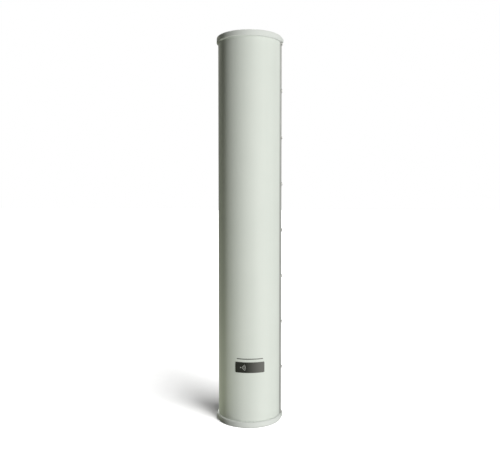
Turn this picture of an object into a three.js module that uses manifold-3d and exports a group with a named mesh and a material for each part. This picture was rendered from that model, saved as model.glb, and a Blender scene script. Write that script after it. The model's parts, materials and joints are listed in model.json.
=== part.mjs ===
// Sector antenna: a row of eight vertical dipoles in front of a folded aluminium tray, behind a
// half-round radome with an end cap at each end. It stands on its bottom cap.
//
// Millimetres. +X is the antenna's width, -Y is its front (the way it radiates), +Z is up. The pieces
// are drawn about the axis of the half-round front, and the whole antenna is then moved in Y so that
// the origin is the middle of the base of its bounding box.

import * as THREE from 'three';
import { mergeVertices } from 'three/addons/utils/BufferGeometryUtils.js';
import Module from 'manifold-3d';

const wasm = await Module();
wasm.setup();

// ---------------------------------------------------------------- driving dimensions

const GAP = 0.3;                      // left between pieces that touch
const THREAD_CHAMFER = 0.8;
const PIN_CHAMFER = 0.4;
const QUARTER_TURN = Math.PI / 2;
const HALF_TURN = Math.PI;

// housing
const HEIGHT = 914.4;
const RADOME_RADIUS = 74.2;
const RADOME_WALL = 2.6;
const RADOME_LEG_END = 22;
const SIDE_DEPTH = 25.2;              // flat side behind the half-round
const TRAY_THICKNESS = 2;
const TRAY_BEND_RADIUS = 3;

// end caps
const CAP_OVERHANG = 3.7;
const CAP_PLATE = 4;
const CAP_FRONT_SKIRT = 13.8;         // round the curved front
const CAP_SIDE_SKIRT = 10;            // on the flat sides and the back
const CAP_EDGE_ROUND = 3;
const CAP_CORNER_RADIUS = 4.5;
const CAP_CLEARANCE = 0.35;
const CAP_RIB_THICKNESS = 2;
const CAP_RIB_HEIGHT = 12;
const CAP_RIB_HALF_ANGLE = THREE.MathUtils.degToRad(60);
const CAP_REAR_RIB_WIDTH = 50;
const GASKET_THICKNESS = 1.5;
const WEEP_HOLE_RADIUS = 2.5;
const WEEP_HOLE_PLACES = [[-20, -48], [20, -48]];

// side screws, and the tapped bars that they pull against
const SIDE_SCREW_COUNT = 9;
const SIDE_SCREW_END_DISTANCE = 14;
const SIDE_SCREW_DEPTH = 16;          // behind the axis of the half-round
const SCREW_RADIUS = 2;
const SCREW_HOLE_RADIUS = 2.4;
const PAN_HEAD_RADIUS = 4;
const PAN_HEAD_HEIGHT = 2.8;
const PAN_HEAD_FLAT = 0.6;            // of its radius
const SIDE_SCREW_SHANK = 12;
const BAR_THICKNESS = 6;
const BAR_FRONT = 3;
const BAR_BACK = 20.5;

// cap screws, down into the ends of the bars
const CAP_SCREW_DEPTH = 7.5;          // behind the axis of the half-round
const CAP_SCREW_LENGTH = 18;
const TAPPED_HOLE_END = 20;
const COUNTERSUNK_RADIUS = 3.8;
const COUNTERSUNK_HEIGHT = 2;
const COUNTERSINK_RECESS = 0.4;

// feed boards, with the foam behind them and the dipoles in front
const FOAM_THICKNESS = 2.8;
const BOARD_THICKNESS = 1.6;
const BOARD_WIDTH = 66;
const BOARD_END_DISTANCE = 54;
const BOARD_MIDDLE_SPLIT = 10;
const DIPOLE_COUNT = 8;
const DIPOLE_PITCH = 108;
const DIPOLE_REACH = 33;              // in front of the tray
const DIPOLE_LENGTH = 54;
const DIPOLE_ARM_WIDTH = 8;
const DIPOLE_STEM_WIDTH = 16;
const DIPOLE_TAB_WIDTH = 11;
const DIPOLE_FLARE = 4;               // the stem widens by this at its foot
const BALUN_SLOT_WIDTH = 2;
const BALUN_SLOT_LENGTH = 20;
const DIVIDER_WIDTH = 44;
const DIVIDER_HEIGHT = 42;

// connector, on the back near the bottom
const CONNECTOR_HEIGHT = 36;
const CONNECTOR_REACH = 20;           // behind the tray
const CONNECTOR_THREAD_RADIUS = 7.9;
const CONNECTOR_NECK_RADIUS = 6;
const CONNECTOR_FLANGE_RADIUS = 10.5;
const CONNECTOR_FLANGE_THICKNESS = 3.2;
const CONNECTOR_TAIL_RADIUS = 3.2;
const CONNECTOR_TAIL_END = 12;        // behind the axis of the half-round
const CONNECTOR_NECK_PAST_NUT = 2;
const CONNECTOR_BORE_RADIUS = 4.3;
const CONNECTOR_BORE_DEPTH = 12;
const CONNECTOR_PIN_RADIUS = 1.5;
const CONNECTOR_PIN_RECESS = 5;
const CONNECTOR_NUT_FLATS = 16;
const CONNECTOR_NUT_THICKNESS = 3;
const CONNECTOR_SEAL_THICKNESS = 1.2;
const CONNECTOR_SEAL_INSET = 1;       // inside the flange's edge
const INSULATOR_THICKNESS = 4;

// coaxial lead from the connector to the power divider
const COAX_RADIUS = 1.8;
const COAX_BOARD_CLEARANCE = 0.5;
const COAX_STRAIGHT = 4;              // out of the connector before the first bend
const COAX_SIDE_PLACE = -48;
const COAX_BEND_RADIUS = 18;
const COAX_STEPS = 56;
const COAX_SIDES = 8;
const COAX_CLIP_HEIGHTS = [170, 330];
const CLIP_WIDTH = 12;
const CLIP_HEIGHT = 12;
const CLIP_MOUTH = 3;
const CLIP_WALL = 1.5;

// studs that a mast bracket bolts to
const STUD_HEIGHTS = [140, 774.4];
const STUD_SPACING = 60;
const STUD_RADIUS = 4;
const STUD_REACH = 20;                // behind the tray
const STUD_HEAD_RADIUS = 6.5;
const STUD_HEAD_THICKNESS = 1.5;
const NUT_FLATS = 13;
const NUT_HEIGHT = 8;
const NUT_FLANGE_RADIUS = 8.8;
const NUT_FLANGE_HEIGHT = 1.6;

// badge on the front
const BADGE_TURN = THREE.MathUtils.degToRad(15.8);   // round the front, towards +X
const BADGE_HALF_ANGLE = THREE.MathUtils.degToRad(26.8);
const BADGE_BOTTOM = 129;
const BADGE_HEIGHT = 24.7;
const BADGE_THICKNESS = 0.4;

// how finely round shapes are cut
const FRONT_STEPS = 32;
const CORNER_STEPS = 3;
const BEVEL_STEPS = 3;
const BADGE_STEPS = 10;
const SCREW_STEPS = 10;
const ROUND_STEPS = 20;

// ---------------------------------------------------------------- places worked out from them

const TRAY_FRONT = GAP;
const TRAY_INNER_FACE = SIDE_DEPTH - TRAY_THICKNESS;
const LEG_OUTER = RADOME_RADIUS - TRAY_THICKNESS - GAP;
const LEG_INNER = LEG_OUTER - RADOME_WALL;
const RADOME_INNER_RADIUS = RADOME_RADIUS - RADOME_WALL;
const TUBE_BOTTOM = CAP_PLATE + GASKET_THICKNESS + 2 * GAP;
const TUBE_LENGTH = HEIGHT - 2 * TUBE_BOTTOM;
const BAR_OUTER = LEG_INNER - GAP;
const BAR_CENTRE = BAR_OUTER - BAR_THICKNESS / 2;
const BAR_LENGTH = TUBE_LENGTH - 2 * GAP;
const FOAM_BACK = TRAY_INNER_FACE - GAP;
const BOARD_BACK = FOAM_BACK - FOAM_THICKNESS - GAP;
const BOARD_FRONT = BOARD_BACK - BOARD_THICKNESS;
const BOARD_LENGTH = (HEIGHT - BOARD_MIDDLE_SPLIT) / 2 - BOARD_END_DISTANCE;
const DIVIDER_BACK = BOARD_FRONT - GAP;
const CONNECTOR_BACK = SIDE_DEPTH + CONNECTOR_REACH;
const COAX_DEPTH = BOARD_FRONT - COAX_BOARD_CLEARANCE - COAX_RADIUS;
const STUD_BACK = SIDE_DEPTH + STUD_REACH;

const sideScrewPitch = (HEIGHT - 2 * SIDE_SCREW_END_DISTANCE) / (SIDE_SCREW_COUNT - 1);
const sideScrewHeights = Array.from(
  { length: SIDE_SCREW_COUNT },
  (_, index) => SIDE_SCREW_END_DISTANCE + index * sideScrewPitch,
);
const dipoleHeights = Array.from(
  { length: DIPOLE_COUNT },
  (_, index) => HEIGHT / 2 + (index - (DIPOLE_COUNT - 1) / 2) * DIPOLE_PITCH,
);
const studPlaces = STUD_HEIGHTS.flatMap(
  (height) => [-1, 1].map((side) => [side * STUD_SPACING / 2, height]),
);

// ---------------------------------------------------------------- materials

function material(color, roughness, metalness) {
  return new THREE.MeshStandardMaterial({ color, roughness, metalness });
}

const shellPlastic = material(0xdbe1da, 0.5, 0);
const traySkin = material(0xc9cdc8, 0.55, 0.1);
const sealRubber = material(0x2a2c2c, 0.85, 0);
const bareAluminium = material(0xb9bcbc, 0.45, 0.9);
const screwSteel = material(0xa9aba8, 0.4, 0.9);
const boardLaminate = material(0xd9cfa8, 0.6, 0);
const foam = material(0xf2f1ea, 0.95, 0);
const nickel = material(0xbdb9ae, 0.3, 1);
const gold = material(0xd6a94a, 0.25, 1);
const whitePlastic = material(0xf0efe9, 0.5, 0);
const coaxJacket = material(0x9a6a3c, 0.45, 0.6);
const badgeFoil = material(0x3b3d3a, 0.45, 0.1);

// ---------------------------------------------------------------- solids

function weld(geometry) {
  geometry.deleteAttribute('normal');
  geometry.deleteAttribute('uv');
  return mergeVertices(geometry);
}

function solid(geometry) {
  const welded = weld(geometry);
  return new wasm.Manifold(new wasm.Mesh({
    numProp: 3,
    vertProperties: new Float32Array(welded.attributes.position.array),
    triVerts: new Uint32Array(welded.index.array),
  }));
}

function geometryOf(body) {
  const { vertProperties, triVerts } = body.getMesh();
  const geometry = new THREE.BufferGeometry();
  geometry.setAttribute('position', new THREE.BufferAttribute(vertProperties, 3));
  geometry.setIndex(new THREE.BufferAttribute(triVerts, 1));
  return geometry;
}

function cut(geometry, cutters) {
  return geometryOf(cutters.reduce((body, cutter) => body.subtract(solid(cutter)), solid(geometry)));
}

function join(geometries) {
  return geometryOf(geometries.map(solid).reduce((body, next) => body.add(next)));
}

function box(from, to) {
  const size = to.map((value, axis) => value - from[axis]);
  const centre = to.map((value, axis) => (value + from[axis]) / 2);
  return new THREE.BoxGeometry(...size).translate(...centre);
}

// A prism of a closed outline, standing on z = 0.
function prism(points, height, holes = []) {
  const shape = new THREE.Shape(points);
  shape.holes = holes.map((hole) => new THREE.Path(hole));
  return new THREE.ExtrudeGeometry(shape, { depth: height, bevelEnabled: false });
}

// A plate drawn in X and Z. Its back lies at y = back, and its thickness goes forward from there.
function uprightPlate(points, thickness, back, holes = []) {
  return prism(points, thickness, holes).rotateX(QUARTER_TURN).translate(0, back, 0);
}

function arc(centreX, centreY, radius, from, to, steps) {
  return Array.from({ length: steps + 1 }, (_, index) => {
    const angle = from + (to - from) * index / steps;
    return new THREE.Vector2(centreX + radius * Math.cos(angle), centreY + radius * Math.sin(angle));
  });
}

function rectangle(left, right, low, high) {
  return [[left, low], [right, low], [right, high], [left, high]].map(([x, y]) => new THREE.Vector2(x, y));
}

function rod(radius, length, steps) {
  return new THREE.CylinderGeometry(radius, radius, length, steps);
}

// Turned parts are lathed about Y from [radius, y] pairs.
function turned(profile, steps) {
  return new THREE.LatheGeometry(profile.map(([radius, y]) => new THREE.Vector2(radius, y)), steps);
}

// A ring or a stepped sleeve: the profile closes on itself.
function turnedRing(profile, steps) {
  return turned([...profile, profile[0]], steps);
}

function hexPrism(flats, height) {
  const corner = flats / Math.sqrt(3);
  return new THREE.CylinderGeometry(corner, corner, height, 6);
}

const antenna = new THREE.Group();

function piece(name, geometry, look, parent = antenna) {
  const mesh = new THREE.Mesh(weld(geometry), look);
  mesh.name = name;
  parent.add(mesh);
  return mesh;
}

// ---------------------------------------------------------------- radome and tray

// The antenna's D section, grown outwards by some margin: a half-round front and a square back.
function dOutline(grow, cornerRadius) {
  const halfWidth = RADOME_RADIUS + grow;
  const back = SIDE_DEPTH + grow;
  const cornerX = halfWidth - cornerRadius;
  const cornerY = back - cornerRadius;
  return [
    ...arc(0, 0, halfWidth, HALF_TURN, 2 * HALF_TURN, FRONT_STEPS),
    ...arc(cornerX, cornerY, cornerRadius, 0, QUARTER_TURN, CORNER_STEPS),
    ...arc(-cornerX, cornerY, cornerRadius, QUARTER_TURN, HALF_TURN, CORNER_STEPS),
  ];
}

// The hollow of the radome, from the end of one leg round to the end of the other.
function radomeInside(legEnd) {
  const legAngle = Math.acos(LEG_INNER / RADOME_INNER_RADIUS);
  const from = 2 * HALF_TURN - legAngle;
  const to = HALF_TURN + legAngle;
  return [
    new THREE.Vector2(LEG_INNER, legEnd),
    ...arc(0, 0, RADOME_INNER_RADIUS, from, to, FRONT_STEPS),
    new THREE.Vector2(-LEG_INNER, legEnd),
  ];
}

// Each row of screw holes goes through both sides at once.
function sideScrewHoles(radius) {
  return sideScrewHeights.map((height) => rod(radius, 3 * RADOME_RADIUS, SCREW_STEPS)
    .rotateZ(QUARTER_TURN)
    .translate(0, SIDE_SCREW_DEPTH, height));
}

function radome() {
  const outline = [
    ...arc(0, 0, RADOME_RADIUS, HALF_TURN, 2 * HALF_TURN, FRONT_STEPS),
    new THREE.Vector2(LEG_OUTER, 0),
    new THREE.Vector2(LEG_OUTER, RADOME_LEG_END),
    ...radomeInside(RADOME_LEG_END),
    new THREE.Vector2(-LEG_OUTER, RADOME_LEG_END),
    new THREE.Vector2(-LEG_OUTER, 0),
  ];
  const shell = prism(outline, TUBE_LENGTH).translate(0, 0, TUBE_BOTTOM);
  piece('radome', cut(shell, sideScrewHoles(SCREW_HOLE_RADIUS)), shellPlastic);
}

function reflectorTray() {
  const innerBend = TRAY_BEND_RADIUS - TRAY_THICKNESS;
  const bendX = RADOME_RADIUS - TRAY_BEND_RADIUS;
  const bendY = SIDE_DEPTH - TRAY_BEND_RADIUS;
  const innerWidth = RADOME_RADIUS - TRAY_THICKNESS;
  const outline = [
    new THREE.Vector2(RADOME_RADIUS, TRAY_FRONT),
    ...arc(bendX, bendY, TRAY_BEND_RADIUS, 0, QUARTER_TURN, CORNER_STEPS),
    ...arc(-bendX, bendY, TRAY_BEND_RADIUS, QUARTER_TURN, HALF_TURN, CORNER_STEPS),
    new THREE.Vector2(-RADOME_RADIUS, TRAY_FRONT),
    new THREE.Vector2(-innerWidth, TRAY_FRONT),
    ...arc(-bendX, bendY, innerBend, HALF_TURN, QUARTER_TURN, CORNER_STEPS),
    ...arc(bendX, bendY, innerBend, QUARTER_TURN, 0, CORNER_STEPS),
    new THREE.Vector2(innerWidth, TRAY_FRONT),
  ];
  const channel = prism(outline, TUBE_LENGTH).translate(0, 0, TUBE_BOTTOM);
  const studHoles = studPlaces.map(([x, z]) => rod(STUD_RADIUS + GAP, 3 * SIDE_DEPTH, ROUND_STEPS)
    .translate(x, SIDE_DEPTH * 1.5, z));
  const connectorHole = rod(CONNECTOR_NECK_RADIUS + GAP, SIDE_DEPTH, ROUND_STEPS)
    .translate(0, SIDE_DEPTH, CONNECTOR_HEIGHT);
  piece(
    'reflector_tray',
    cut(channel, [...sideScrewHoles(SCREW_HOLE_RADIUS), ...studHoles, connectorHole]),
    traySkin,
  );
}

// ---------------------------------------------------------------- side screws and tapped bars

function panHeadScrew() {
  return turned([
    [0, -SIDE_SCREW_SHANK],
    [SCREW_RADIUS, -SIDE_SCREW_SHANK],
    [SCREW_RADIUS, 0],
    [PAN_HEAD_RADIUS, 0],
    [PAN_HEAD_RADIUS, PAN_HEAD_HEIGHT / 2],
    [PAN_HEAD_RADIUS * PAN_HEAD_FLAT, PAN_HEAD_HEIGHT],
    [0, PAN_HEAD_HEIGHT],
  ], SCREW_STEPS);
}

function sideFastenings(side, sideName) {
  const bar = box(
    [BAR_CENTRE - BAR_THICKNESS / 2, BAR_FRONT, TUBE_BOTTOM + GAP],
    [BAR_OUTER, BAR_BACK, TUBE_BOTTOM + GAP + BAR_LENGTH],
  );
  const capScrewHoles = [0, HEIGHT].map((end) => rod(SCREW_HOLE_RADIUS, 2 * TAPPED_HOLE_END, SCREW_STEPS)
    .rotateX(QUARTER_TURN)
    .translate(BAR_CENTRE, CAP_SCREW_DEPTH, end));
  const tapped = cut(bar, [...sideScrewHoles(SCREW_HOLE_RADIUS), ...capScrewHoles]);
  const barMesh = piece(`clamp_bar_${sideName}`, tapped, bareAluminium);
  if (side < 0) {
    barMesh.rotation.y = HALF_TURN;
    barMesh.position.z = HEIGHT;
  }

  sideScrewHeights.forEach((height, index) => {
    const screw = piece(`side_screw_${sideName}_${index + 1}`, panHeadScrew(), screwSteel);
    screw.rotation.z = -side * QUARTER_TURN;
    screw.position.set(side * (RADOME_RADIUS + GAP), SIDE_SCREW_DEPTH, height);
  });
}

// ---------------------------------------------------------------- end caps

// Drawn as the bottom cap: its outer face at z = 0, open upwards.
function capShell(hasWeepHoles) {
  const outline = new THREE.Shape(dOutline(CAP_OVERHANG, CAP_CORNER_RADIUS));
  const outer = new THREE.ExtrudeGeometry(outline, {
    depth: 2 * CAP_FRONT_SKIRT,
    bevelThickness: CAP_EDGE_ROUND,
    bevelSize: CAP_EDGE_ROUND,
    bevelOffset: -CAP_EDGE_ROUND,
    bevelSegments: BEVEL_STEPS,
  }).translate(0, 0, CAP_EDGE_ROUND);
  const reach = 2 * RADOME_RADIUS;
  const pocket = prism(dOutline(CAP_CLEARANCE, TRAY_BEND_RADIUS), reach).translate(0, 0, CAP_PLATE);
  const aboveFrontSkirt = box([-reach, -reach, CAP_FRONT_SKIRT], [reach, reach, reach]);
  const aboveSideSkirt = box([-reach, 0, CAP_SIDE_SKIRT], [reach, reach, reach]);
  const screwHoles = [-1, 1].map((side) => turned([
    [0, -CAP_PLATE],
    [COUNTERSUNK_RADIUS + 2 * GAP, -CAP_PLATE],
    [COUNTERSUNK_RADIUS + 2 * GAP, COUNTERSINK_RECESS],
    [SCREW_HOLE_RADIUS, COUNTERSINK_RECESS + COUNTERSUNK_HEIGHT],
    [SCREW_HOLE_RADIUS, 2 * CAP_PLATE],
    [0, 2 * CAP_PLATE],
  ], ROUND_STEPS).rotateX(QUARTER_TURN).translate(side * BAR_CENTRE, CAP_SCREW_DEPTH, 0));
  const weepHoles = (hasWeepHoles ? WEEP_HOLE_PLACES : [])
    .map(([x, y]) => rod(WEEP_HOLE_RADIUS, 4 * CAP_PLATE, SCREW_STEPS)
      .rotateX(QUARTER_TURN)
      .translate(x, y, 0));
  const shell = cut(outer, [pocket, aboveFrontSkirt, aboveSideSkirt, ...screwHoles, ...weepHoles]);

  const ribOuter = RADOME_INNER_RADIUS - CAP_CLEARANCE;
  const ribFrom = 3 * QUARTER_TURN - CAP_RIB_HALF_ANGLE;
  const ribTo = 3 * QUARTER_TURN + CAP_RIB_HALF_ANGLE;
  const frontRib = prism([
    ...arc(0, 0, ribOuter, ribFrom, ribTo, FRONT_STEPS / 2),
    ...arc(0, 0, ribOuter - CAP_RIB_THICKNESS, ribTo, ribFrom, FRONT_STEPS / 2),
  ], CAP_RIB_HEIGHT - CAP_PLATE / 2).translate(0, 0, CAP_PLATE / 2);
  const rearRib = box(
    [-CAP_REAR_RIB_WIDTH / 2, TRAY_INNER_FACE - CAP_CLEARANCE - CAP_RIB_THICKNESS, CAP_PLATE / 2],
    [CAP_REAR_RIB_WIDTH / 2, TRAY_INNER_FACE - CAP_CLEARANCE, CAP_RIB_HEIGHT],
  );
  return join([shell, frontRib, rearRib]);
}

function gasket() {
  const inside = radomeInside(TRAY_INNER_FACE - GAP);
  return prism(dOutline(0, TRAY_BEND_RADIUS), GASKET_THICKNESS, [inside]).translate(0, 0, CAP_PLATE + GAP);
}

function countersunkScrew() {
  const headTop = COUNTERSINK_RECESS;
  return turned([
    [0, headTop],
    [COUNTERSUNK_RADIUS, headTop],
    [SCREW_RADIUS, headTop + COUNTERSUNK_HEIGHT],
    [SCREW_RADIUS, CAP_SCREW_LENGTH - THREAD_CHAMFER],
    [SCREW_RADIUS - THREAD_CHAMFER, CAP_SCREW_LENGTH],
    [0, CAP_SCREW_LENGTH],
  ], SCREW_STEPS).rotateX(QUARTER_TURN);
}

// Both ends are built alike, and the top one is turned over.
function endFitting(end) {
  const isTop = end === 'top';
  const group = new THREE.Group();
  if (isTop) {
    group.rotation.y = HALF_TURN;
    group.position.z = HEIGHT;
  }
  piece(`${end}_cap`, capShell(!isTop), shellPlastic, group);
  piece(`${end}_gasket`, gasket(), sealRubber, group);
  for (const side of [-1, 1]) {
    const sideName = side === (isTop ? -1 : 1) ? 'right' : 'left';
    const screw = piece(`cap_screw_${end}_${sideName}`, countersunkScrew(), screwSteel, group);
    screw.position.set(side * BAR_CENTRE, CAP_SCREW_DEPTH, 0);
  }
  antenna.add(group);
}

// ---------------------------------------------------------------- feed boards and dipoles

function feedBoard(half, low) {
  const high = low + BOARD_LENGTH;
  const outline = rectangle(-BOARD_WIDTH / 2, BOARD_WIDTH / 2, low, high);
  const tabWidth = BOARD_THICKNESS / 2 + GAP;
  const tabHeight = DIPOLE_TAB_WIDTH / 2 + GAP;
  const slots = dipoleHeights
    .filter((height) => height > low && height < high)
    .map((height) => rectangle(-tabWidth, tabWidth, height - tabHeight, height + tabHeight));
  piece(`feed_board_${half}`, uprightPlate(outline, BOARD_THICKNESS, BOARD_BACK, slots), boardLaminate);

  const studClearance = studPlaces
    .filter(([, z]) => z > low && z < high)
    .map(([x, z]) => rod(STUD_HEAD_RADIUS + 2 * GAP, SIDE_DEPTH, ROUND_STEPS).translate(x, SIDE_DEPTH, z));
  const backing = uprightPlate(outline, FOAM_THICKNESS, FOAM_BACK);
  piece(`foam_spacer_${half}`, cut(backing, studClearance), foam);
}

// A printed dipole on a card that stands on edge: two arms, a stem that flares at its foot, the
// balun slot between them, and a tab through the feed board.
function dipoleCard(index, height) {
  const front = TRAY_INNER_FACE - DIPOLE_REACH;
  const armBack = front + DIPOLE_ARM_WIDTH;
  const foot = BOARD_FRONT - GAP;
  const tabEnd = BOARD_BACK;
  const armHalf = DIPOLE_LENGTH / 2;
  const stemHalf = DIPOLE_STEM_WIDTH / 2;
  const footHalf = stemHalf + DIPOLE_FLARE;
  const tabHalf = DIPOLE_TAB_WIDTH / 2;
  const slotHalf = BALUN_SLOT_WIDTH / 2;
  const slotEnd = front + BALUN_SLOT_LENGTH;
  const rightSide = [
    [slotEnd, slotHalf],
    [front, slotHalf],
    [front, armHalf],
    [armBack, armHalf],
    [armBack, stemHalf],
    [foot - DIPOLE_FLARE, stemHalf],
    [foot, footHalf],
    [foot, tabHalf],
    [tabEnd, tabHalf],
  ];
  const outline = [
    ...rightSide,
    ...rightSide.map(([y, z]) => [y, -z]).reverse(),
  ].map(([y, z]) => new THREE.Vector2(y, z));
  const alongX = new THREE.Matrix4().makeBasis(
    new THREE.Vector3(0, 1, 0),
    new THREE.Vector3(0, 0, 1),
    new THREE.Vector3(1, 0, 0),
  );
  const card = prism(outline, BOARD_THICKNESS).applyMatrix4(alongX).translate(-BOARD_THICKNESS / 2, 0, 0);
  piece(`dipole_card_${index + 1}`, card, boardLaminate).position.z = height;
}

function radiators() {
  feedBoard('lower', BOARD_END_DISTANCE);
  feedBoard('upper', (HEIGHT + BOARD_MIDDLE_SPLIT) / 2);
  dipoleHeights.forEach((height, index) => dipoleCard(index, height));
  const divider = rectangle(
    -DIVIDER_WIDTH / 2,
    DIVIDER_WIDTH / 2,
    (HEIGHT - DIVIDER_HEIGHT) / 2,
    (HEIGHT + DIVIDER_HEIGHT) / 2,
  );
  piece('power_divider', uprightPlate(divider, BOARD_THICKNESS, DIVIDER_BACK), boardLaminate);
}

// ---------------------------------------------------------------- connector and coaxial lead

function connector() {
  const sealBack = SIDE_DEPTH + GAP + CONNECTOR_SEAL_THICKNESS;
  const flangeFront = sealBack + GAP;
  const flangeBack = flangeFront + CONNECTOR_FLANGE_THICKNESS;
  const boreEnd = CONNECTOR_BACK - CONNECTOR_BORE_DEPTH;
  const nutFront = TRAY_INNER_FACE - GAP - CONNECTOR_NUT_THICKNESS;
  const neckFront = nutFront - CONNECTOR_NECK_PAST_NUT;
  const pinHole = CONNECTOR_PIN_RADIUS + GAP;
  const group = new THREE.Group();
  group.position.z = CONNECTOR_HEIGHT;
  antenna.add(group);

  const body = turnedRing([
    [pinHole, CONNECTOR_TAIL_END],
    [CONNECTOR_TAIL_RADIUS, CONNECTOR_TAIL_END],
    [CONNECTOR_TAIL_RADIUS, neckFront],
    [CONNECTOR_NECK_RADIUS, neckFront],
    [CONNECTOR_NECK_RADIUS, flangeFront],
    [CONNECTOR_FLANGE_RADIUS, flangeFront],
    [CONNECTOR_FLANGE_RADIUS, flangeBack],
    [CONNECTOR_THREAD_RADIUS, flangeBack],
    [CONNECTOR_THREAD_RADIUS, CONNECTOR_BACK - THREAD_CHAMFER],
    [CONNECTOR_THREAD_RADIUS - THREAD_CHAMFER, CONNECTOR_BACK],
    [CONNECTOR_BORE_RADIUS, CONNECTOR_BACK],
    [CONNECTOR_BORE_RADIUS, boreEnd],
    [pinHole, boreEnd],
  ], ROUND_STEPS);
  piece('connector_body', body, nickel, group);

  const insulatorFront = boreEnd + GAP;
  const insulatorBack = insulatorFront + INSULATOR_THICKNESS;
  const insulator = turnedRing([
    [pinHole, insulatorFront],
    [CONNECTOR_BORE_RADIUS - GAP, insulatorFront],
    [CONNECTOR_BORE_RADIUS - GAP, insulatorBack],
    [pinHole, insulatorBack],
  ], ROUND_STEPS);
  piece('connector_insulator', insulator, whitePlastic, group);

  const pinBack = CONNECTOR_BACK - CONNECTOR_PIN_RECESS;
  const pin = turned([
    [0, CONNECTOR_TAIL_END],
    [CONNECTOR_PIN_RADIUS, CONNECTOR_TAIL_END],
    [CONNECTOR_PIN_RADIUS, pinBack - PIN_CHAMFER],
    [CONNECTOR_PIN_RADIUS - PIN_CHAMFER, pinBack],
    [0, pinBack],
  ], SCREW_STEPS);
  piece('connector_pin', pin, gold, group);

  const seal = turnedRing([
    [CONNECTOR_NECK_RADIUS + GAP, SIDE_DEPTH + GAP],
    [CONNECTOR_FLANGE_RADIUS - CONNECTOR_SEAL_INSET, SIDE_DEPTH + GAP],
    [CONNECTOR_FLANGE_RADIUS - CONNECTOR_SEAL_INSET, sealBack],
    [CONNECTOR_NECK_RADIUS + GAP, sealBack],
  ], ROUND_STEPS);
  piece('connector_seal', seal, sealRubber, group);

  const nut = cut(
    hexPrism(CONNECTOR_NUT_FLATS, CONNECTOR_NUT_THICKNESS).rotateY(HALF_TURN / 6),
    [rod(CONNECTOR_NECK_RADIUS + GAP, 3 * CONNECTOR_NUT_THICKNESS, ROUND_STEPS)],
  );
  piece('connector_nut', nut, nickel, group).position.y = nutFront + CONNECTOR_NUT_THICKNESS / 2;
}

// Straight runs between corners, with each corner rounded off.
function roundedRoute(corners, bendRadius) {
  const route = new THREE.CurvePath();
  let start = corners[0];
  for (let index = 1; index < corners.length - 1; index += 1) {
    const corner = corners[index];
    const before = corner.clone().add(corners[index - 1].clone().sub(corner).setLength(bendRadius));
    const after = corner.clone().add(corners[index + 1].clone().sub(corner).setLength(bendRadius));
    route.add(new THREE.LineCurve3(start, before));
    route.add(new THREE.QuadraticBezierCurve3(before, corner, after));
    start = after;
  }
  route.add(new THREE.LineCurve3(start, corners[corners.length - 1]));
  return route;
}

function coaxJumper() {
  const startY = CONNECTOR_TAIL_END - GAP;
  const bendY = startY - COAX_BEND_RADIUS - COAX_STRAIGHT;
  const route = roundedRoute([
    new THREE.Vector3(0, startY, CONNECTOR_HEIGHT),
    new THREE.Vector3(0, bendY, CONNECTOR_HEIGHT),
    new THREE.Vector3(COAX_SIDE_PLACE, COAX_DEPTH, CONNECTOR_HEIGHT),
    new THREE.Vector3(COAX_SIDE_PLACE, COAX_DEPTH, HEIGHT / 2),
    new THREE.Vector3(-DIVIDER_WIDTH / 2 - GAP, COAX_DEPTH, HEIGHT / 2),
  ], COAX_BEND_RADIUS);
  const circle = arc(0, 0, COAX_RADIUS, 0, 2 * HALF_TURN, COAX_SIDES);
  const section = new THREE.Shape(circle.slice(0, COAX_SIDES));
  const lead = new THREE.ExtrudeGeometry(section, { steps: COAX_STEPS, extrudePath: route });
  piece('coax_jumper', lead, coaxJacket);

  COAX_CLIP_HEIGHTS.forEach((height, index) => {
    const back = TRAY_INNER_FACE - GAP;
    const front = COAX_DEPTH - COAX_RADIUS - CLIP_WALL;
    const block = box(
      [-CLIP_WIDTH / 2, front, -CLIP_HEIGHT / 2],
      [CLIP_WIDTH / 2, back, CLIP_HEIGHT / 2],
    );
    const channel = rod(COAX_RADIUS + GAP, 2 * CLIP_HEIGHT, ROUND_STEPS)
      .rotateX(QUARTER_TURN)
      .translate(0, COAX_DEPTH, 0);
    const mouth = box(
      [-CLIP_MOUTH / 2, front - CLIP_WALL, -CLIP_HEIGHT],
      [CLIP_MOUTH / 2, COAX_DEPTH, CLIP_HEIGHT],
    );
    const clip = piece(`coax_clip_${index + 1}`, cut(block, [channel, mouth]), whitePlastic);
    clip.position.set(COAX_SIDE_PLACE, 0, height);
  });
}

// ---------------------------------------------------------------- mounting studs

function mountingStud(index, x, z) {
  const headFront = TRAY_INNER_FACE - GAP - STUD_HEAD_THICKNESS;
  const headBack = TRAY_INNER_FACE - GAP;
  const stud = turned([
    [0, headFront],
    [STUD_HEAD_RADIUS, headFront],
    [STUD_HEAD_RADIUS, headBack],
    [STUD_RADIUS, headBack],
    [STUD_RADIUS, STUD_BACK - THREAD_CHAMFER],
    [STUD_RADIUS - THREAD_CHAMFER, STUD_BACK],
    [0, STUD_BACK],
  ], ROUND_STEPS);
  piece(`mounting_stud_${index + 1}`, stud, screwSteel).position.set(x, 0, z);

  const flange = rod(NUT_FLANGE_RADIUS, NUT_FLANGE_HEIGHT, ROUND_STEPS)
    .translate(0, NUT_FLANGE_HEIGHT / 2, 0);
  const hex = hexPrism(NUT_FLATS, NUT_HEIGHT).translate(0, NUT_HEIGHT / 2, 0);
  const thread = rod(STUD_RADIUS + GAP, 4 * NUT_HEIGHT, ROUND_STEPS);
  const nut = cut(join([flange, hex]), [thread]);
  piece(`stud_nut_${index + 1}`, nut, screwSteel).position.set(x, SIDE_DEPTH + GAP, z);
}

// ---------------------------------------------------------------- badge

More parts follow.
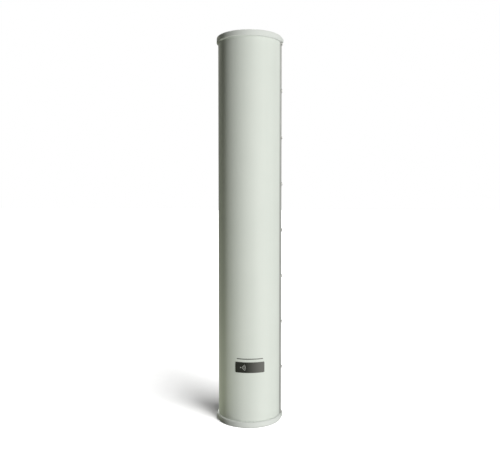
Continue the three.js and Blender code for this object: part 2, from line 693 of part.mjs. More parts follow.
function badge() {
  const inner = RADOME_RADIUS + GAP;
  const middle = 3 * QUARTER_TURN + BADGE_TURN;
  const from = middle - BADGE_HALF_ANGLE;
  const to = middle + BADGE_HALF_ANGLE;
  const outline = [
    ...arc(0, 0, inner + BADGE_THICKNESS, from, to, BADGE_STEPS),
    ...arc(0, 0, inner, to, from, BADGE_STEPS),
  ];
  piece('badge', prism(outline, BADGE_HEIGHT), badgeFoil).position.z = BADGE_BOTTOM;
}

// ---------------------------------------------------------------- the antenna

radome();
reflectorTray();
endFitting('bottom');
endFitting('top');
sideFastenings(1, 'right');
sideFastenings(-1, 'left');
radiators();
connector();
coaxJumper();
studPlaces.forEach(([x, z], index) => mountingStud(index, x, z));
badge();

// The front of the caps and the ends of the studs bound the antenna in Y.
const frontY = -(RADOME_RADIUS + CAP_OVERHANG);
const backY = Math.max(CONNECTOR_BACK, STUD_BACK);
antenna.position.y = -(frontY + backY) / 2;
antenna.name = 'sector_antenna';

export default antenna;
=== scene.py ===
"""Sector antenna: fine meshes, materials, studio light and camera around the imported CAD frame.

Metres, in the frame of the CAD model: +X is the antenna's width, -Y its front and +Z up, and the
origin is the middle of the base that it stands on.
"""

import json
from math import acos, cos, hypot, pi, radians, sin, sqrt

import bmesh
import bpy
from mathutils import Matrix, Vector

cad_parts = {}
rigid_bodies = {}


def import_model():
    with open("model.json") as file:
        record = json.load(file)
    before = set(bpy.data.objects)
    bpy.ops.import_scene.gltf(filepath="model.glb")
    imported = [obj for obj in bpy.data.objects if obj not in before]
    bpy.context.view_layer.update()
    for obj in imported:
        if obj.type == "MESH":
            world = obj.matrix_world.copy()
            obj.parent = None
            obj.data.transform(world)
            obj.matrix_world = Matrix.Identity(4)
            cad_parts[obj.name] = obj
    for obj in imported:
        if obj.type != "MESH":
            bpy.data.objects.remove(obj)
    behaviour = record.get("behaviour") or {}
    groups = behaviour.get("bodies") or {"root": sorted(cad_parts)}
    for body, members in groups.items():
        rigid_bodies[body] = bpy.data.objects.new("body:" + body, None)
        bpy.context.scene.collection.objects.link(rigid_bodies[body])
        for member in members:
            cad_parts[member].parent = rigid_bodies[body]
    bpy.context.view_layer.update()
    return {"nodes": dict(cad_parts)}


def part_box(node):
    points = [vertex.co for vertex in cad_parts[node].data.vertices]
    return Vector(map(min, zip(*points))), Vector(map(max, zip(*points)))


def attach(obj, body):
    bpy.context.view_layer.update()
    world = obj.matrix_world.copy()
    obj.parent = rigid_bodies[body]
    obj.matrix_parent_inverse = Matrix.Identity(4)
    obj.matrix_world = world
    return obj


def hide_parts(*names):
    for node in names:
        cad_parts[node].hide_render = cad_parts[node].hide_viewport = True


MM = 0.001
BODY = "root"
HALF_TURN = pi
QUARTER_TURN = pi / 2
FULL_TURN = 2 * pi

# ---- the frame, and sizes read from it

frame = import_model()
scene = bpy.context.scene

radome_low, radome_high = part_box("radome")
tray_low, tray_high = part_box("reflector_tray")
cap_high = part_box("bottom_cap")[1]
badge_low, badge_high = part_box("badge")

RADIUS = (radome_high.x - radome_low.x) / 2
AXIS_Y = radome_low.y + RADIUS  # the axis of the half-round front
SIDE_DEPTH = tray_high.y - AXIS_Y
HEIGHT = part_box("top_cap")[1].z
TUBE_BOTTOM = radome_low.z
TUBE_TOP = radome_high.z
LEG_END = radome_high.y - AXIS_Y
CAP_OVERHANG = cap_high.x - RADIUS
CAP_FRONT_SKIRT = cap_high.z
SIDES = {"right": 1, "left": -1}

# sizes of the CAD model that its boxes don't give
GAP = 0.3 * MM
RADOME_WALL = 2.6 * MM
TRAY_THICKNESS = 2 * MM
TRAY_BEND_RADIUS = 3 * MM
CAP_PLATE = 4 * MM
CAP_SIDE_SKIRT = 10 * MM
CAP_EDGE_ROUND = 3 * MM
CAP_CORNER_RADIUS = 4.5 * MM
CAP_CLEARANCE = 0.35 * MM
CAP_RIB_THICKNESS = 2 * MM
CAP_RIB_HEIGHT = 12 * MM
CAP_RIB_HALF_ANGLE = radians(60)
CAP_REAR_RIB_WIDTH = 50 * MM
WEEP_HOLE_RADIUS = 2.5 * MM
WEEP_HOLE_X = 20 * MM
WEEP_HOLE_Y = -48 * MM
SCREW_HOLE_RADIUS = 2.4 * MM
COUNTERSUNK_RADIUS = 3.8 * MM
COUNTERSUNK_HEIGHT = 2 * MM
COUNTERSINK_RECESS = 0.4 * MM
STUD_RADIUS = 4 * MM
JACK_NECK_RADIUS = 6 * MM
JACK_THREAD_RADIUS = 7.9 * MM
JACK_FLANGE_THICKNESS = 3.2 * MM
JACK_BORE_RADIUS = 4.3 * MM
JACK_BORE_DEPTH = 12 * MM
BOARD_THICKNESS = 1.6 * MM
DIPOLE_ARM_WIDTH = 8 * MM
DIPOLE_STEM_WIDTH = 16 * MM
BALUN_SLOT_WIDTH = 2 * MM
BALUN_SLOT_LENGTH = 20 * MM
BADGE_THICKNESS = 0.4 * MM
BADGE_TURN = radians(15.8)
BADGE_HALF_ANGLE = radians(26.8)

# fine detail that only this model has
ARC_STEPS = 144
CORNER_STEPS = 12
EDGE_STEPS = 6
ROUND_STEPS = 48
ROD_STEPS = 24
THREAD_ROWS = 6  # rings of points a turn
FINE_THREAD_ROWS = 8
SCREW_STEPS = 32
STUD_STEPS = 40
JACK_STEPS = 64
BADGE_STEPS = 64
SIDE_STEPS = 9
SIDE_CROWDING = 1.6  # above 1, points on the sides crowd towards the front
SHARP_ANGLE = radians(30)
MERGE_DISTANCE = 0.0005 * MM
LIP_ROUND = 0.6 * MM
RIM_OUTER_ROUND = 2.4 * MM
RIM_INNER_ROUND = 0.15 * MM
LIP_CLEARANCE = 0.05 * MM  # between the mouth of a cap and the housing
LIP_DEPTH = 1.2 * MM
FLOOR_FILLET = 0.8 * MM
SKIRT_STEP = 1.8 * MM

SCREW_HEAD_RADIUS = 4 * MM
SCREW_RADIUS = 2 * MM
SCREW_PITCH = 0.7 * MM
SCREW_GROOVE = 0.4 * MM
SCREW_CROWN_WIDTH = 2.1 * MM
SCREW_CROWN_HEIGHT = 1.5 * MM
SCREW_CROWN_STEPS = 8
SCREW_EDGE = 0.15 * MM
CROSS_HALF_SLOT = 0.45 * MM
SCREW_TURNS = [12, 48, 75, 31, 60, 5, 83, 22, 54]  # how far round each one stopped, in degrees
STUD_PITCH = 1.25 * MM
STUD_GROOVE = 0.68 * MM
STUD_HEAD_EDGE = 0.2 * MM
NUT_FLATS = 13 * MM
NUT_FLANGE_HEIGHT = 1.9 * MM
NUT_BORE_CLEARANCE = 0.06 * MM
NUT_CHAMFER = 0.7 * MM
NUT_RIM = 0.5 * MM
JACK_TAIL_RADIUS = 3.1995 * MM
JACK_PITCH = 1.058 * MM
JACK_GROOVE = 0.6 * MM
JACK_EDGE = 0.4 * MM
CONTACT_SLOT = 0.24 * MM

BADGE_CORNER = 2 * MM
BADGE_RAISE = 0.12 * MM
BADGE_SINK = 0.05 * MM
BADGE_ARC_RADII = (5 * MM, 8 * MM, 11 * MM)
BADGE_ARC_SPREAD = radians(38)
BADGE_ARC_STEPS = 24
BADGE_ARC_WIDTH = 0.9 * MM
BADGE_ARC_PLACE = 0.62  # of the way from the badge's middle to its left end
BADGE_DOT = 2.4 * MM
RULE_RISE = 7.5 * MM  # over the badge
RULE_WIDTH = 2 * MM
RULE_SHARE = 0.9  # of the badge's width

TRACK_RAISE = 0.07 * MM
TRACK_SINK = 0.02 * MM
TRACK_MARGIN = 0.8 * MM
HOOK_WIDTH = 1.8 * MM
HOOK_END = 9 * MM  # behind the card's front edge
TRUNK_X = 9 * MM
TRUNK_WIDTH = 3.2 * MM
BRANCH_WIDTH = 2.4 * MM
PAD_INNER_X = 2 * MM
PAD_OUTER_X = 5 * MM
PAD_HALF_HEIGHT = 4 * MM
MATCHING_WIDTH = 5 * MM
MATCHING_LENGTH = 12 * MM  # either way from the divider's middle

# colours
SHELL_TONES = ((0.7, 0.745, 0.7), (0.76, 0.8, 0.755))
CAP_TONES = ((0.695, 0.725, 0.7), (0.74, 0.77, 0.745))
# Darker tones for the painted contact shade where the bottom cap meets the floor.
CONTACT_SHADE_TONES = ((0.42, 0.43, 0.4), (0.56, 0.58, 0.55))
TRAY_TONES = ((0.385, 0.401, 0.38), (0.434, 0.45, 0.426))
# The badge's dark tone, and the paler tone of its painted sheen towards its right end.
BADGE_DARK_TO_SHEEN_TONES = ((0.028, 0.03, 0.025), (0.15, 0.15, 0.14))
INK_TONES = ((0.5, 0.51, 0.49), (0.62, 0.63, 0.6))
RUBBER_TONES = ((0.012, 0.012, 0.012), (0.03, 0.03, 0.03))
BAR_TONES = ((0.5, 0.51, 0.52), (0.72, 0.73, 0.74))
LAMINATE_TONES = ((0.5, 0.42, 0.2), (0.66, 0.58, 0.34))
TRACK_TONES = ((0.62, 0.6, 0.55), (0.78, 0.77, 0.73))
FOAM_TONES = ((0.86, 0.85, 0.8), (0.7, 0.69, 0.63))
COPPER_TONES = ((0.36, 0.15, 0.07), (0.78, 0.38, 0.22))
NYLON_TONES = ((0.74, 0.73, 0.69), (0.84, 0.83, 0.8))

# camera, floor and light
CAMERA_DISTANCE = 1.411  # from the axis of the half-round
CAMERA_AZIMUTH = 14.7  # degrees round from the front towards +X
CAMERA_HEIGHT = 0.528
CAMERA_PITCH = 2.4  # degrees down
CAMERA_TURN = 0.063  # degrees to the right of the axis
CAMERA_LENS = 42.06  # millimetres, as its sensor's width
CAMERA_SENSOR = 36

FLOOR_HALF_WIDTH = 30
FLOOR_TONES = ((0.945, 0.945, 0.94), (0.96, 0.96, 0.955))
PATCH_CENTRE = (-0.58, -0.1, 0)
PATCH_RADIUS = 0.47
PATCH_EDGE = 0.06
PATCH_TONES = ((0, 0, 0), (0.49, 0.51, 0.385))
BACKDROP = ((1, 1, 1), 1.0)  # colour and strength
AMBIENT = ((1.0, 1.0, 0.92), 0.01)

# name, what it lights, azimuth from the camera's, elevation, strength, softness, colour
LAMPS = [
    ("key", "antenna", 38, 4, 1.69, 6, (1.0, 1.0, 0.97)),
    ("high_fill", "antenna", 38, 45, 0.71, 12, (1.0, 1.0, 0.97)),
    ("low_fill", "antenna", 38, -40, 1.08, 12, (1.0, 1.0, 0.97)),
    ("left_fill", "antenna", -40, 4, 0.2, 20, (1.0, 1.0, 0.9)),
    ("side_fill", "antenna", 135, 15, 0.46, 25, (1.0, 1.0, 0.97)),
    ("edge_fill", "antenna", -150, 20, 0.4, 12, (1.0, 1.0, 0.9)),
    ("back_key", "antenna", 180, 30, 2.8, 15, (1.0, 1.0, 0.98)),
    ("overhead", "antenna", -CAMERA_AZIMUTH, 88, 0.65, 5, (1.0, 1.0, 0.97)),
    ("underneath", "antenna", 70, -75, 0.5, 5, (1.0, 1.0, 0.97)),
    ("floor_key", "floor", 45, 44, 4.76, 36, (1.0, 1.0, 1.0)),
    ("floor_fill", "floor", 15, 44, 2.1, 36, (1.0, 1.0, 1.0)),
]


# ---- mesh helpers

def in_scene(name, data):
    """A new object in the scene, for a mesh, a lamp or a camera."""
    piece = bpy.data.objects.new(name, data)
    scene.collection.objects.link(piece)
    return piece


def add_piece(name, mesh, look, replaced=(), place=None):
    """Puts a mesh in the scene as a piece of the antenna. place is a matrix that moves it there."""
    piece = in_scene(name, mesh)
    if place:
        piece.matrix_world = place
    if not mesh.materials:
        mesh.materials.append(look.material)
    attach(piece, BODY)
    if replaced:
        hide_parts(*replaced)


def tidied(mesh):
    """Faces point out, and only edges sharper than SHARP_ANGLE look sharp."""
    work = bmesh.new()
    work.from_mesh(mesh)
    bmesh.ops.remove_doubles(work, verts=work.verts, dist=MERGE_DISTANCE)
    bmesh.ops.recalc_face_normals(work, faces=work.faces)
    work.to_mesh(mesh)
    work.free()
    mesh.shade_smooth()
    mesh.set_sharp_from_angle(angle=SHARP_ANGLE)
    return mesh


def mesh_from(name, vertices, faces):
    mesh = bpy.data.meshes.new(name)
    mesh.from_pydata(vertices, [], faces)
    return tidied(mesh)


def moved(mesh, matrix):
    mesh.transform(matrix)
    mesh.update()
    return mesh


def arc(centre_x, centre_y, radius, start, end, steps):
    angles = [start + (end - start) * i / steps for i in range(steps + 1)]
    return [(centre_x + radius * cos(a), centre_y + radius * sin(a)) for a in angles]


def rectangle(left, low, right, high):
    return [(left, low), (right, low), (right, high), (left, high)]


def loft(name, rings):
    """A closed body through rings of equally many points, flat across the first and the last."""
    count = len(rings[0])
    vertices = [point for ring in rings for point in ring]
    faces = [tuple(range(count)), tuple(range(len(vertices) - count, len(vertices)))]
    for base in range(0, len(vertices) - count, count):
        for i in range(count):
            j = (i + 1) % count
            faces.append((base + i, base + j, base + count + j, base + count + i))
    return mesh_from(name, vertices, faces)


def prism(name, outline, low, high):
    return loft(name, [[(x, y, z) for x, y in outline] for z in (low, high)])


def lathe(name, profile, steps=ROUND_STEPS, thread=None):
    """Turns (radius, height) pairs about Z. A profile that starts off the axis closes on itself.

    thread is (low, high, pitch, depth): a helical groove in the outside between those heights.
    """
    vertices, faces, rings = [], [], []
    for radius, height in profile:
        if radius == 0:
            rings.append([len(vertices)])
            vertices.append((0, 0, height))
            continue
        rings.append(list(range(len(vertices), len(vertices) + steps)))
        for i in range(steps):
            angle = FULL_TURN * i / steps
            reach = radius - (thread_depth(height, angle, thread) if thread else 0)
            vertices.append((reach * cos(angle), reach * sin(angle), height))
    pairs = list(zip(rings, rings[1:]))
    if len(rings[0]) > 1:
        pairs.append((rings[-1], rings[0]))
    for below, above in pairs:
        for i in range(steps):
            j = (i + 1) % steps
            lower = [below[i % len(below)], below[j % len(below)]]
            upper = [above[j % len(above)], above[i % len(above)]]
            face = tuple(dict.fromkeys(lower + upper))
            if len(face) > 2:
                faces.append(face)
    return mesh_from(name, vertices, faces)


def thread_depth(height, angle, thread):
    """How deep a V thread's groove is at a height and an angle. It fades out towards both ends."""
    low, high, pitch, depth = thread
    if not low < height < high:
        return 0
    turn = (height / pitch - angle / FULL_TURN) % 1
    painted_sheen = min(1, (height - low) / pitch, (high - height) / pitch)
    return depth * painted_sheen * abs(2 * turn - 1)


def thread_profile(radius, low, high, pitch, rows=THREAD_ROWS):
    """The straight outside that a thread is cut into, with several rings of points a turn."""
    count = max(2, round((high - low) / pitch * rows))
    return [(radius, low + (high - low) * i / count) for i in range(count + 1)]


def combine(meshes):
    """Several separate closed bodies as one mesh, such as a set of cutters."""
    work = bmesh.new()
    for mesh in meshes:
        work.from_mesh(mesh)
    result = bpy.data.meshes.new(meshes[0].name)
    work.to_mesh(result)
    work.free()
    return result


def carve(mesh, tool, operation="DIFFERENCE"):
    """Cuts the tool mesh out of mesh, joins it on, or keeps what they share."""
    target = in_scene("carve_target", mesh)
    helper = in_scene("carve_tool", tool)
    modifier = target.modifiers.new("carve", "BOOLEAN")
    modifier.operation = operation
    modifier.solver = "EXACT"
    modifier.object = helper
    bpy.context.view_layer.update()
    graph = bpy.context.evaluated_depsgraph_get()
    result = bpy.data.meshes.new_from_object(target.evaluated_get(graph))
    for each in (target, helper):
        bpy.data.objects.remove(each)
    return tidied(result)


def rods(places, radius, length, along):
    """Straight round cutters, all pointing one way and centred on the given places."""
    turn = Vector((0, 0, 1)).rotation_difference(Vector(along)).to_matrix().to_4x4()
    profile = rectangle(0, -length / 2, radius, length / 2)
    places = [Matrix.Translation(place) @ turn for place in places]
    return combine([moved(lathe("rod", profile, ROD_STEPS), place) for place in places])


def centre_of(node):
    low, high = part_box(node)
    return (low + high) / 2


def numbered(start):
    """Names of the CAD parts that begin so, in the order of their numbers."""
    return sorted(name for name in frame["nodes"] if name.startswith(start))


def turned_size(node):
    """Radius, front and back of a round CAD part. The last two are depths behind AXIS_Y."""
    low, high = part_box(node)
    return (high.x - low.x) / 2, low.y - AXIS_Y, high.y - AXIS_Y


# ---- materials

class Look:
    """A procedural material: a Principled shader with nodes for its colour, gloss and grain."""

    def __init__(self, name, roughness, **sockets):
        self.material = bpy.data.materials.new(name)
        self.material.use_nodes = True
        self.tree = self.material.node_tree
        self.surface = self.tree.nodes["Principled BSDF"]
        self.surface.inputs["Roughness"].default_value = roughness
        for socket, value in sockets.items():
            self.surface.inputs[socket.replace("_", " ")].default_value = value
        self.place = self.add("ShaderNodeTexCoord").outputs["Object"]

    def add(self, kind, **settings):
        node = self.tree.nodes.new(kind)
        for setting, value in settings.items():
            setattr(node, setting, value)
        return node

    def link(self, source, target):
        self.tree.links.new(source, target)

    def stretched(self, scale):
        """Coordinates scaled per axis: a small number draws the pattern out along that axis."""
        mapping = self.add("ShaderNodeMapping")
        mapping.inputs["Scale"].default_value = scale
        self.link(self.place, mapping.inputs["Vector"])
        return mapping.outputs["Vector"]

    def pattern(self, kind, scale, stretch=None, **sockets):
        """A texture on the piece's own coordinates, stretched or not."""
        node = self.add(kind)
        node.inputs["Scale"].default_value = scale
        for socket, value in sockets.items():
            node.inputs[socket].default_value = value
        self.link(self.stretched(stretch) if stretch else self.place, node.inputs["Vector"])
        return node

    def noise(self, scale, detail=3, stretch=None):
        return self.pattern("ShaderNodeTexNoise", scale, stretch, Detail=detail).outputs["Fac"]

    def cells(self, scale):
        return self.pattern("ShaderNodeTexVoronoi", scale).outputs["Distance"]

    def waves(self, scale, direction, distortion, kind="BANDS"):
        node = self.pattern("ShaderNodeTexWave", scale, Distortion=distortion)
        node.wave_type = kind
        node.bands_direction = direction
        node.rings_direction = direction
        return node.outputs["Fac"]

    def along(self, axis):
        """Distance along one of the piece's axes."""
        node = self.add("ShaderNodeSeparateXYZ")
        self.link(self.place, node.inputs["Vector"])
        return node.outputs[axis]

    def combined(self, operation, first, second):
        node = self.add("ShaderNodeMath", operation=operation)
        for socket, value in zip(node.inputs, (first, second)):
            if isinstance(value, (int, float)):
                socket.default_value = value
            else:
                self.link(value, socket)
        return node.outputs["Value"]

    def ramp(self, value, tones, low=0.3, high=0.7):
        """A colour that goes from the first tone to the second as value goes from low to high."""
        node = self.add("ShaderNodeValToRGB")
        for element, tone, position in zip(node.color_ramp.elements, tones, (low, high)):
            element.position = position
            element.color = (*tone, 1)
        self.link(value, node.inputs["Fac"])
        return node.outputs["Color"]

    def mixed(self, share, first, second):
        """first where share is 0, second where it is 1."""
        node = self.add("ShaderNodeMix", data_type="RGBA")
        self.link(share, node.inputs["Factor"])
        first_colour, second_colour = [socket for socket in node.inputs if socket.type == "RGBA"]
        self.link(first, first_colour)
        self.link(second, second_colour)
        return next(socket for socket in node.outputs if socket.type == "RGBA")

    def spread(self, value, low, high, from_low=0.3, from_high=0.7):
        """A number that goes from low to high as value does from from_low to from_high."""
        node = self.add("ShaderNodeMapRange")
        for socket, number in zip(node.inputs[1:5], (from_low, from_high, low, high)):
            socket.default_value = number
        self.link(value, node.inputs[0])
        return node.outputs["Result"]

    def colour(self, source):
        self.link(source, self.surface.inputs["Base Color"])

    def roughness(self, pattern, low, high):
        self.link(self.spread(pattern, low, high), self.surface.inputs["Roughness"])

    def bump(self, layers):
        """Bumps on bumps, from (height, distance in metres, strength) layers."""
        normal = None
        for height, distance, strength in layers:
            node = self.add("ShaderNodeBump")
            node.inputs["Strength"].default_value = strength
            node.inputs["Distance"].default_value = distance
            self.link(height, node.inputs["Height"])
            if normal:
                self.link(normal, node.inputs["Normal"])
            normal = node.outputs["Normal"]
        self.link(normal, self.surface.inputs["Normal"])


def shell_plastic():
    """Pale grey-green satin plastic: drawn lengthwise, so its faint streaks run up the tube."""
    look = Look("shell_plastic", 0.6, Specular_IOR_Level=0.2)
    streaks = look.noise(30, 4, (1, 1, 0.04))
    clouds = look.noise(9)
    streak_share = look.combined("MULTIPLY", streaks, 0.6)
    cloud_share = look.combined("MULTIPLY", clouds, 0.4)
    both = look.combined("ADD", streak_share, cloud_share)
    look.colour(look.ramp(both, SHELL_TONES))
    look.roughness(look.noise(160), 0.55, 0.68)
    look.bump([(streaks, 0.05 * MM, 0.25), (look.noise(1400, 2), 0.012 * MM, 0.5)])
    return look


def cap_plastic():
    """The same plastic, moulded: a fine even texture without streaks, and painted contact shade
    that darkens it within a few millimetres of the floor.
    """
    look = Look("cap_plastic", 0.62, Specular_IOR_Level=0.2)
    clean = look.ramp(look.noise(14, 4), CAP_TONES)
    # Painted contact shade: darker tones within 3.5 mm of the floor, on the bottom cap's lower edge
    # and its underside.
    contact_shaded = look.ramp(look.noise(90, 4), CONTACT_SHADE_TONES, 0.35, 0.65)
    above_floor = look.spread(look.along("Z"), 0, 1, 0.5 * MM, 3.5 * MM)
    look.colour(look.mixed(above_floor, contact_shaded, clean))
    look.roughness(look.noise(300), 0.58, 0.7)
    look.bump([(look.noise(2200), 0.03 * MM, 0.6)])
    return look


def tray_paint():
    """Powder coat over sheet metal: an orange-peel skin with a fine grain in it."""
    look = Look("tray_paint", 0.5, Specular_IOR_Level=0.4)
    look.colour(look.ramp(look.noise(16, 4), TRAY_TONES))
    look.roughness(look.noise(420), 0.42, 0.6)
    look.bump([(look.noise(700, 2), 0.05 * MM, 0.5), (look.cells(2400), 0.02 * MM, 0.4)])
    return look


def gasket_rubber():
    look = Look("gasket_rubber", 0.85)
    look.colour(look.ramp(look.noise(500, 4), RUBBER_TONES, 0.35, 0.7))
    look.bump([(look.cells(1300), 0.08 * MM, 0.6)])
    return look


def turned_metal(name, light, dark, roughness, grain):
    """Metal with fine turning marks round Z, and a little tarnish in its colour."""
    look = Look(name, roughness, Metallic=1.0)
    look.colour(look.ramp(look.noise(grain, 5), (dark, light), 0.3, 0.65))
    look.roughness(look.noise(grain * 2, 4), roughness - 0.08, roughness + 0.12)
    rings = look.waves(grain, "Z", 1.5, "RINGS")
    look.bump([(rings, 0.01 * MM, 0.35), (look.noise(grain * 5, 2), 0.01 * MM, 0.4)])
    return look


def extruded_aluminium():
    look = Look("extruded_aluminium", 0.4, Metallic=1.0)
    lines = look.noise(900, 4, (1, 1, 0.004))
    look.colour(look.ramp(lines, BAR_TONES))
    look.roughness(lines, 0.3, 0.5)
    look.bump([(lines, 0.03 * MM, 0.5)])
    return look


def board_laminate():
    """Glass-cloth laminate: warp and weft show faintly through the resin."""
    look = Look("board_laminate", 0.4, Specular_IOR_Level=0.5, Coat_Weight=0.25)
    weave = look.combined("MULTIPLY", look.waves(380, "Z", 0.6), look.waves(380, "X", 0.6))
    cloth = look.combined("ADD", weave, look.combined("MULTIPLY", look.noise(60), 0.5))
    look.colour(look.ramp(cloth, LAMINATE_TONES, 0.2, 0.9))
    look.roughness(look.noise(200), 0.34, 0.5)
    look.bump([(weave, 0.03 * MM, 0.5)])
    return look


def copper_track():
    look = Look("tinned_copper", 0.35, Metallic=1.0)
    look.colour(look.ramp(look.noise(120, 4), TRACK_TONES, 0.35, 0.7))
    look.roughness(look.noise(350, 4), 0.25, 0.45)
    look.bump([(look.noise(900), 0.02 * MM, 0.5)])
    return look


def closed_foam():
    look = Look("closed_foam", 0.95, Specular_IOR_Level=0.2)
    cells = look.cells(700)
    look.colour(look.ramp(cells, FOAM_TONES, 0.1, 0.8))
    look.bump([(cells, 0.25 * MM, 0.8)])
    return look


def coax_copper():
    look = Look("coax_copper", 0.3, Metallic=1.0)
    look.colour(look.ramp(look.noise(130, 5), COPPER_TONES))
    look.roughness(look.noise(240, 4), 0.24, 0.48)
    look.bump([(look.noise(1500), 0.02 * MM, 0.4)])
    return look


def white_plastic():
    look = Look("white_plastic", 0.38, Specular_IOR_Level=0.5, Subsurface_Weight=0.05)
    look.colour(look.ramp(look.noise(90), NYLON_TONES))
    look.roughness(look.noise(500), 0.32, 0.46)
    look.bump([(look.noise(1600, 2), 0.015 * MM, 0.5)])
    return look


def badge_foil():
    """Dark printed foil with a painted sheen: paler towards its right end, where the key light
    falls.
    """
    look = Look("badge_foil", 0.55, Specular_IOR_Level=0.2)
    speckle = look.combined("MULTIPLY", look.noise(900, 2), 0.15)
    # Painted sheen: the colour goes paler towards +X, as if the key light shone on the foil from
    # the right.
    painted_sheen = look.spread(look.along("X"), 0, 1, badge_low.x, badge_high.x)
    speckle_and_sheen = look.combined("ADD", painted_sheen, speckle)
    look.colour(look.ramp(speckle_and_sheen, BADGE_DARK_TO_SHEEN_TONES, 0.45, 1.0))
    look.roughness(look.noise(300), 0.48, 0.62)
    look.bump([(look.noise(2600, 2), 0.008 * MM, 0.5)])
    return look


def badge_ink():
    look = Look("badge_ink", 0.45)
    look.colour(look.ramp(look.noise(700), INK_TONES))
    look.bump([(look.noise(1800, 2), 0.01 * MM, 0.5)])
    return look


SHELL = shell_plastic()
CAP = cap_plastic()
TRAY = tray_paint()
RUBBER = gasket_rubber()
SCREW = turned_metal("screw_steel", (0.8, 0.8, 0.78), (0.6, 0.6, 0.58), 0.42, 260)
STUD = turned_metal("stud_steel", (0.66, 0.67, 0.68), (0.44, 0.45, 0.46), 0.32, 180)
NICKEL = turned_metal("connector_nickel", (0.66, 0.64, 0.59), (0.5, 0.48, 0.44), 0.26, 220)
GOLD = turned_metal("contact_gold", (0.9, 0.65, 0.25), (0.7, 0.46, 0.15), 0.24, 300)
BAR = extruded_aluminium()
LAMINATE = board_laminate()
TRACK = copper_track()
FOAM = closed_foam()
COPPER = coax_copper()
NYLON = white_plastic()
FOIL = badge_foil()
INK = badge_ink()


# ---- radome and tray

def d_outline(grow, corner_radius):
    """The antenna's D section grown outwards. Its points crowd where the caps' skirts step."""
    half_width = RADIUS + grow
    corner_x = half_width - corner_radius
    corner_y = AXIS_Y + SIDE_DEPTH + grow - corner_radius
    shares = [(i / SIDE_STEPS) ** SIDE_CROWDING for i in range(1, SIDE_STEPS)]
    side = [AXIS_Y + share * (corner_y - AXIS_Y) for share in shares]
    return (
        arc(0, AXIS_Y, half_width, HALF_TURN, FULL_TURN, ARC_STEPS)
        + [(half_width, y) for y in side]
        + arc(corner_x, corner_y, corner_radius, 0, QUARTER_TURN, CORNER_STEPS)
        + arc(-corner_x, corner_y, corner_radius, QUARTER_TURN, HALF_TURN, CORNER_STEPS)
        + [(-half_width, y) for y in reversed(side)]
    )


def tube_mesh(name, outline):
    """A tube from cap to cap, with every side screw's hole through both its sides."""
    screws = [centre_of(node) for node in numbered("side_screw_right_")]
    holes = rods([(0, p.y, p.z) for p in screws], SCREW_HOLE_RADIUS, 4 * RADIUS, (1, 0, 0))
    return carve(prism(name, outline, TUBE_BOTTOM, TUBE_TOP), holes)


def radome():
    leg_outer = RADIUS - TRAY_THICKNESS - GAP
    leg_inner = leg_outer - RADOME_WALL
    inner_radius = RADIUS - RADOME_WALL
    leg_angle = acos(leg_inner / inner_radius)
    leg_end = AXIS_Y + LEG_END
    lip_x = RADIUS - LIP_ROUND
    lip_y = AXIS_Y - LIP_ROUND
    outline = (
        arc(-lip_x, lip_y, LIP_ROUND, QUARTER_TURN, HALF_TURN, EDGE_STEPS)
        + arc(0, AXIS_Y, RADIUS, HALF_TURN, FULL_TURN, ARC_STEPS)[1:-1]
        + arc(lip_x, lip_y, LIP_ROUND, 0, QUARTER_TURN, EDGE_STEPS)
        + [(leg_outer, AXIS_Y), (leg_outer, leg_end), (leg_inner, leg_end)]
        + arc(0, AXIS_Y, inner_radius, FULL_TURN - leg_angle, HALF_TURN + leg_angle, ARC_STEPS)
        + [(-leg_inner, leg_end), (-leg_outer, leg_end), (-leg_outer, AXIS_Y)]
    )
    mesh = tube_mesh("radome_shell", outline)
    add_piece("radome_shell", mesh, SHELL, ["radome"])


def tray():
    inner_bend = TRAY_BEND_RADIUS - TRAY_THICKNESS
    bend_x = RADIUS - TRAY_BEND_RADIUS
    bend_y = tray_high.y - TRAY_BEND_RADIUS
    inner_x = RADIUS - TRAY_THICKNESS
    lip_y = tray_low.y + LIP_ROUND
    right_lip = arc(inner_x + LIP_ROUND, lip_y, LIP_ROUND, HALF_TURN, 3 * QUARTER_TURN, EDGE_STEPS)
    right_lip += arc(RADIUS - LIP_ROUND, lip_y, LIP_ROUND, -QUARTER_TURN, 0, EDGE_STEPS)
    left_lip = [(-x, y) for x, y in reversed(right_lip)]
    outline = (
        right_lip
        + arc(bend_x, bend_y, TRAY_BEND_RADIUS, 0, QUARTER_TURN, CORNER_STEPS)
        + arc(-bend_x, bend_y, TRAY_BEND_RADIUS, QUARTER_TURN, HALF_TURN, CORNER_STEPS)
        + left_lip
        + arc(-bend_x, bend_y, inner_bend, HALF_TURN, QUARTER_TURN, CORNER_STEPS)
        + arc(bend_x, bend_y, inner_bend, QUARTER_TURN, 0, CORNER_STEPS)
    )
    mesh = tube_mesh("reflector_tray_sheet", outline)
    studs = [centre_of(node) for node in numbered("mounting_stud_")]
    holes = []
    for places, radius in ((studs, STUD_RADIUS), ([centre_of("connector_body")], JACK_NECK_RADIUS)):
        behind = [(p.x, tray_high.y, p.z) for p in places]
        holes.append(rods(behind, radius + GAP, SIDE_DEPTH, (0, 1, 0)))
    mesh = carve(mesh, combine(holes))
    add_piece("reflector_tray_sheet", mesh, TRAY, ["reflector_tray"])


# ---- end caps

def skirt_height(y):
    """How far the cap's skirt stands up: high round the front, low on the sides and the back."""
    t = min(1, max(0, (y - AXIS_Y) / SKIRT_STEP))
    return CAP_FRONT_SKIRT + (CAP_SIDE_SKIRT - CAP_FRONT_SKIRT) * t * t * (3 - 2 * t)


def cap_ring(grow, height, below_rim=None):
    """One ring of the cap's surface, at a height or at a depth below the rim of its skirt."""
    outline = d_outline(grow, CAP_CORNER_RADIUS - CAP_OVERHANG + grow)
    if below_rim is None:
        return [(x, y, height) for x, y in outline]
    return [(x, y, skirt_height(y) - below_rim) for x, y in outline]


def quarter_round(radius):
    """(run, rise) of a quarter round as it turns from flat to upright."""
    angles = [QUARTER_TURN * i / EDGE_STEPS for i in range(EDGE_STEPS + 1)]
    return [(radius * sin(a), radius * (1 - cos(a))) for a in angles]


